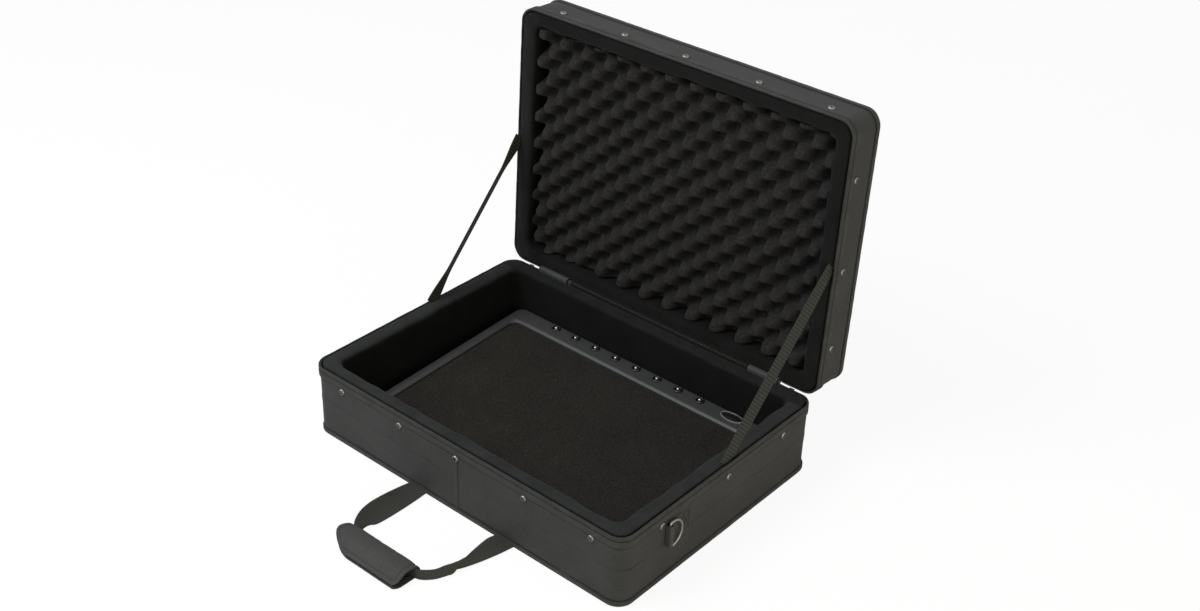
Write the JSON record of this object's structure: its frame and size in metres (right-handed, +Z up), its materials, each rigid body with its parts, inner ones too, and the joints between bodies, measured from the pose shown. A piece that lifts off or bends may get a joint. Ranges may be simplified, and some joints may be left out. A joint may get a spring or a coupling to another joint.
{
  "type": "soft pedalboard case",
  "caption": "Padded zip case, open, with a hinged foam-lined lid, webbing handles and a sloped, carpeted pedal board with power sockets inside.",
  "frame": {"origin": "middle of the bottom panel's underside, on the floor", "axes": "+Z up, +Y towards the hinge, +X to the right seen from the front"},
  "size_m": [0.6608, 0.7334, 0.5847],
  "materials": {
    "board": "pressed fibreboard",
    "frame_plastic": "extruded sheet",
    "nylon_cloth": "coated nylon weave",
    "binding_tape": "ribbed tape, stitched",
    "zip_tape": "knitted tape",
    "zip_coil": "nylon coil",
    "plush": "brushed plush on foam",
    "blackened_steel": "blackened",
    "smooth_piping": "smooth coated",
    "strap_webbing": "ribbed webbing",
    "handle_webbing": "woven webbing",
    "grip_cloth": "padded nylon",
    "ring_steel": "black satin",
    "zip_metal": "black satin",
    "foam": "open cell foam",
    "deck_plastic": "fine grain",
    "carpet": "looped carpet",
    "foot_rubber": "moulded",
    "socket_plastic": "moulded",
    "pin_brass": "plated",
    "circuit_board": "epoxy laminate",
    "lamp_red": "clear moulded"
  },
  "bodies": {
    "base": {"base_bottom_cloth": "nylon_cloth", "base_edge_binding": "binding_tape", "base_floor_board": "board", "base_floor_pad": "plush", "base_hem": "binding_tape", "base_liner": "plush", "base_screws": "blackened_steel", "base_side_cloth": "nylon_cloth", "base_wall_frame": "frame_plastic", "base_zip_coil": "zip_coil", "base_zip_tape": "zip_tape", "hinge_cloth": "nylon_cloth", "hinge_crease_strip": "binding_tape", "hinge_end_strip_left": "smooth_piping", "hinge_end_strip_right": "smooth_piping", "left_ring_tab": "handle_webbing", "right_ring_tab": "handle_webbing", "left_stay_strap": "strap_webbing", "right_stay_strap": "strap_webbing"},
    "lid": {"lid_edge_binding": "binding_tape", "lid_foam": "foam", "lid_hem": "binding_tape", "lid_liner": "plush", "lid_screws": "blackened_steel", "lid_side_cloth": "nylon_cloth", "lid_top_board": "board", "lid_top_cloth": "nylon_cloth", "lid_wall_frame": "frame_plastic", "lid_zip_coil": "zip_coil", "lid_zip_tape": "zip_tape"},
    "base_handle": {"base_handle_webbing": "handle_webbing", "base_handle_grip": "grip_cloth"},
    "lid_handle": {"lid_handle_webbing": "handle_webbing"},
    "right_ring": {"right_d_ring": "ring_steel"},
    "left_ring": {"left_d_ring": "ring_steel"},
    "right_slider": {"right_zip_slider": "zip_metal"},
    "left_slider": {"left_zip_slider": "zip_metal"},
    "right_pull": {"right_zip_pull": "zip_metal"},
    "left_pull": {"left_zip_pull": "zip_metal"},
    "pedal_board": {"deck_frame": "deck_plastic", "deck_carpet": "carpet", "deck_bottom_plate": "deck_plastic", "deck_feet": "foot_rubber", "power_sockets": "socket_plastic", "socket_pins": "pin_brass", "circuit_strip": "circuit_board", "power_led": "lamp_red"}
  },
  "joints": [
    {"name": "lid_hinge", "type": "hinge", "parent": "base", "child": "lid", "pos_m": [0, 0.228, 0.128], "axis": [1, 0, 0], "range_deg": [0, 92.9], "deforming": ["hinge_cloth", "hinge_crease_strip", "hinge_end_strip_left", "hinge_end_strip_right", "left_stay_strap", "right_stay_strap"]},
    {"name": "base_handle_hinge", "type": "hinge", "parent": "base", "child": "base_handle", "pos_m": [0, -0.2311, 0.0052], "axis": [-1, 0, 0], "range_deg": [0, 75]},
    {"name": "lid_handle_hinge", "type": "hinge", "parent": "lid", "child": "lid_handle", "pos_m": [0, 0.32527, 0.57445], "axis": [1, 0, 0], "range_deg": [-2.5, 180]},
    {"name": "right_ring_turn", "type": "hinge", "parent": "base", "child": "right_ring", "pos_m": [0.326, -0.13, 0.081], "axis": [0, 0, -1], "range_deg": [0, 170]},
    {"name": "left_ring_turn", "type": "hinge", "parent": "base", "child": "left_ring", "pos_m": [-0.326, -0.13, 0.081], "axis": [0, 0, 1], "range_deg": [0, 170]},
    {"name": "right_slider_travel", "type": "slide", "parent": "base", "child": "right_slider", "axis": [1, 0, 0], "range_m": [0, 0.012]},
    {"name": "left_slider_travel", "type": "slide", "parent": "base", "child": "left_slider", "axis": [-1, 0, 0], "range_m": [0, 0.012]},
    {"name": "right_pull_swing", "type": "hinge", "parent": "right_slider", "child": "right_pull", "pos_m": [0.276, 0.2328, 0.1206], "axis": [1, 0, 0], "range_deg": [0, 85]},
    {"name": "left_pull_swing", "type": "hinge", "parent": "left_slider", "child": "left_pull", "pos_m": [-0.276, 0.2328, 0.1206], "axis": [1, 0, 0], "range_deg": [0, 85]},
    {"name": "pedal_board_lift", "type": "slide", "parent": "base", "child": "pedal_board", "axis": [0, 0, -1], "range_m": [-0.16, 0]}
  ]
}
